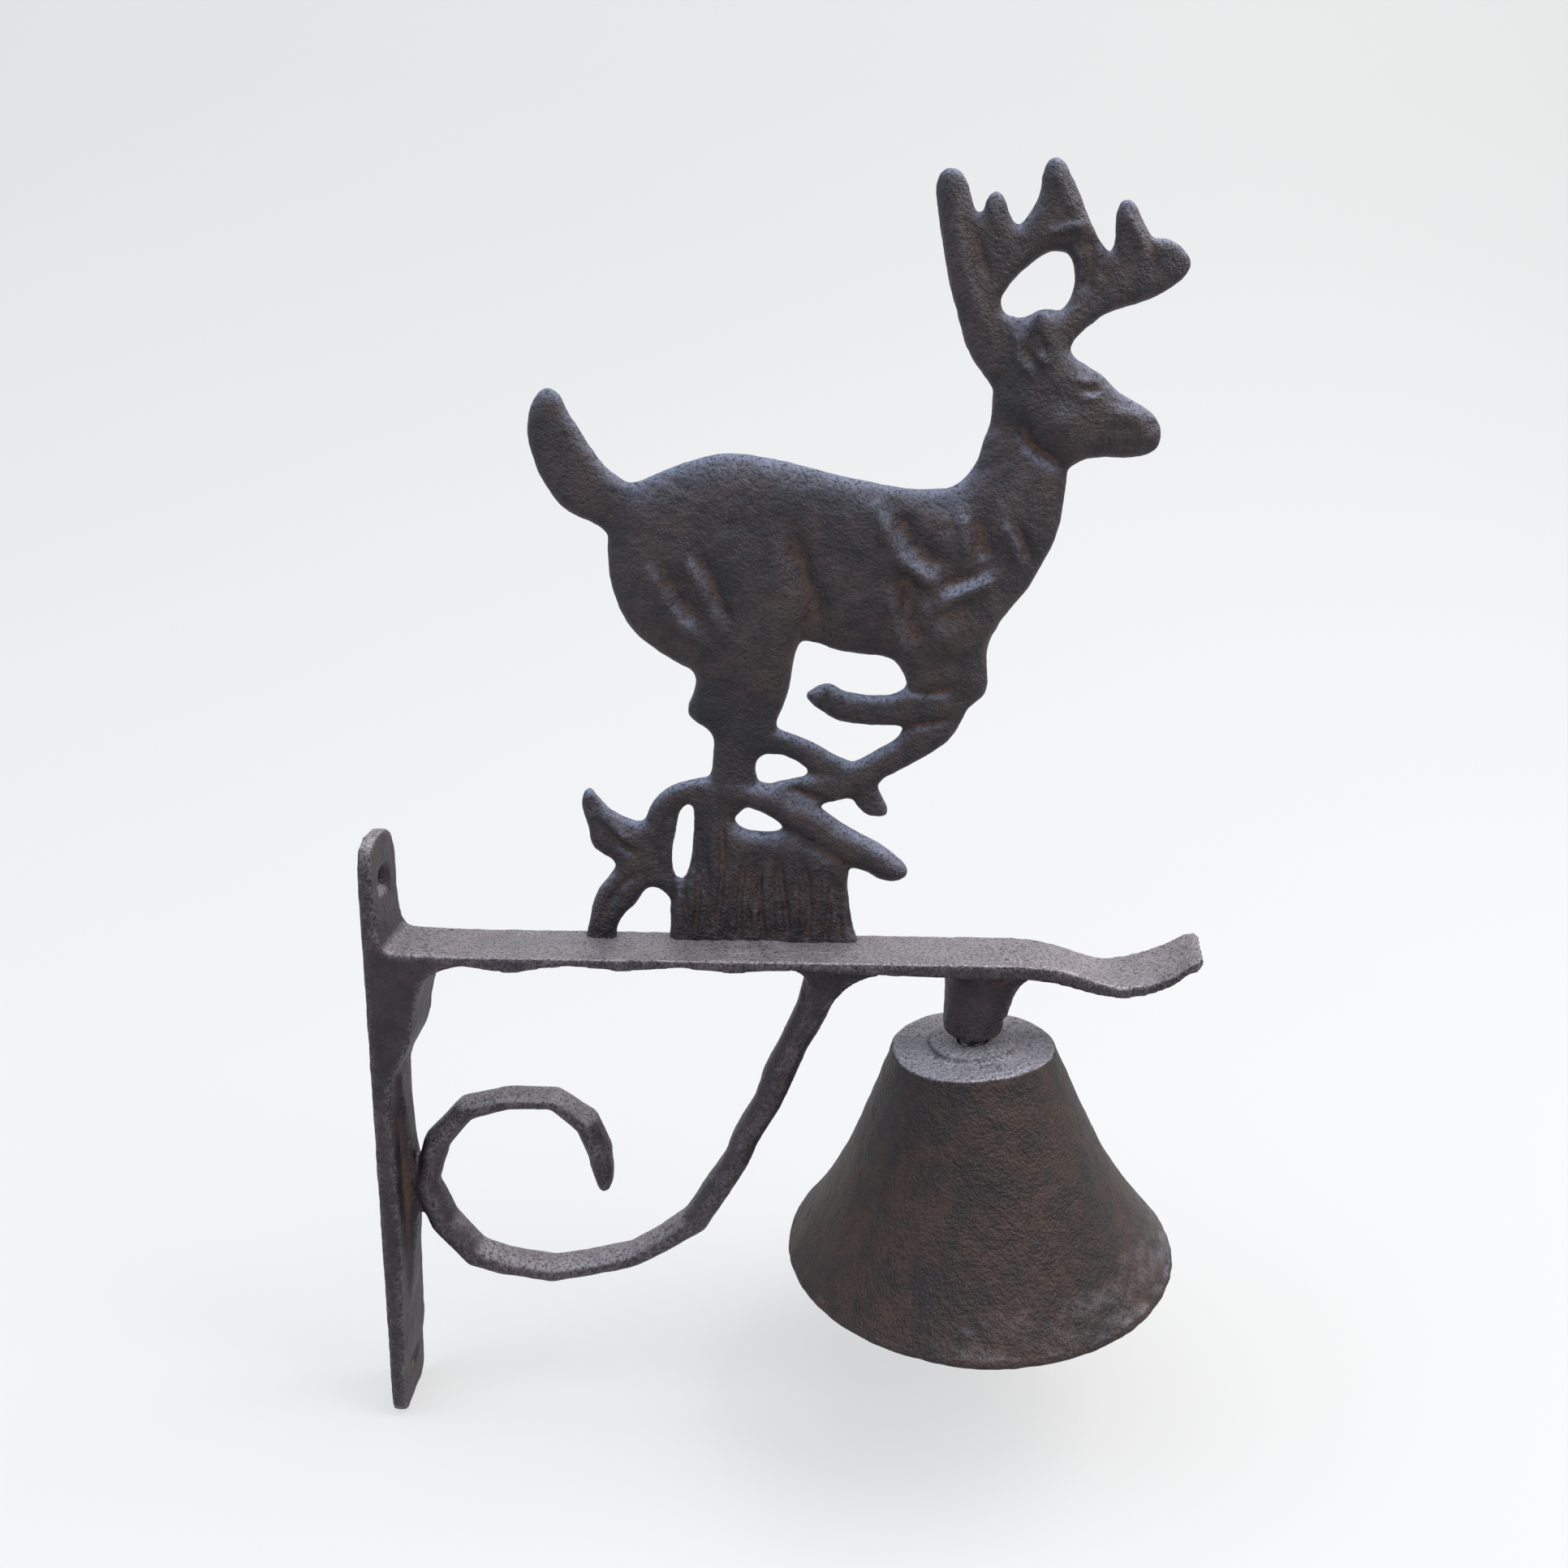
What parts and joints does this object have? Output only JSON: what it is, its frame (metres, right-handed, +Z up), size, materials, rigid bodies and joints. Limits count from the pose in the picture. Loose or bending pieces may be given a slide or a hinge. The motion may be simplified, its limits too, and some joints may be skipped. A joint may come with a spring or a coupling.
{
  "type": "wall mounted bell",
  "caption": "Cast-iron wall bell: a flat bracket with a scroll brace and a leaping stag on its arm, and a flared bell with a hooked clapper on a hanger bolt.",
  "frame": {"origin": "centre of the wall plate's back face, on the wall plane, at the mid-plane of the bracket", "axes": "+X away from the wall along the arm, +Z up, +Y to the far side seen with the arm pointing right"},
  "size_m": [0.1876, 0.09, 0.2835],
  "materials": {
    "bracket_iron": "sand-cast iron, dark brown wax or paint finish, rust brown in the hollows",
    "bell_iron": "sand-cast iron, warmer rust brown, grainy",
    "hardware_steel": "dull steel darkened with the same finish, light rust",
    "clapper_iron": "rough cast ball"
  },
  "bodies": {
    "bracket": {"wall_plate": "bracket_iron", "bracket_arm": "bracket_iron", "arm_rib": "bracket_iron", "arm_gusset": "bracket_iron", "plate_rib": "bracket_iron", "scroll_brace": "bracket_iron", "hanger_boss": "bracket_iron", "stag_tail": "bracket_iron", "stag_torso": "bracket_iron", "stag_neck": "bracket_iron", "stag_head": "bracket_iron", "rear_antler": "bracket_iron", "front_antler": "bracket_iron", "planted_hind_leg": "bracket_iron", "trailing_hind_leg": "bracket_iron", "front_upper_leg": "bracket_iron", "folded_front_leg": "bracket_iron", "reaching_front_leg": "bracket_iron", "fallen_limb": "bracket_iron", "tree_stump": "bracket_iron", "leaf_branch": "bracket_iron", "hanger_bolt": "hardware_steel", "seat_washer": "hardware_steel", "hanger_nut": "hardware_steel"},
    "bell": {"bell_cup": "bell_iron"},
    "link": {"clapper_link": "hardware_steel"},
    "clapper": {"clapper_rod": "hardware_steel", "clapper_ball": "clapper_iron"}
  },
  "joints": [
    {"name": "bell_turn", "type": "hinge", "parent": "bracket", "child": "bell", "pos_m": [0.1354, 0, 0.0239], "axis": [-0.0715, 0, 0.9974], "continuous": true},
    {"name": "link_swing", "type": "hinge", "parent": "bracket", "child": "link", "pos_m": [0.13648, 0, 0.00809], "axis": [0, 1, 0], "range_deg": [-47, 40]},
    {"name": "clapper_swing", "type": "hinge", "parent": "link", "child": "clapper", "pos_m": [0.13648, 0, 0.00199], "axis": [1, 0, 0], "range_deg": [-20, 20]}
  ]
}
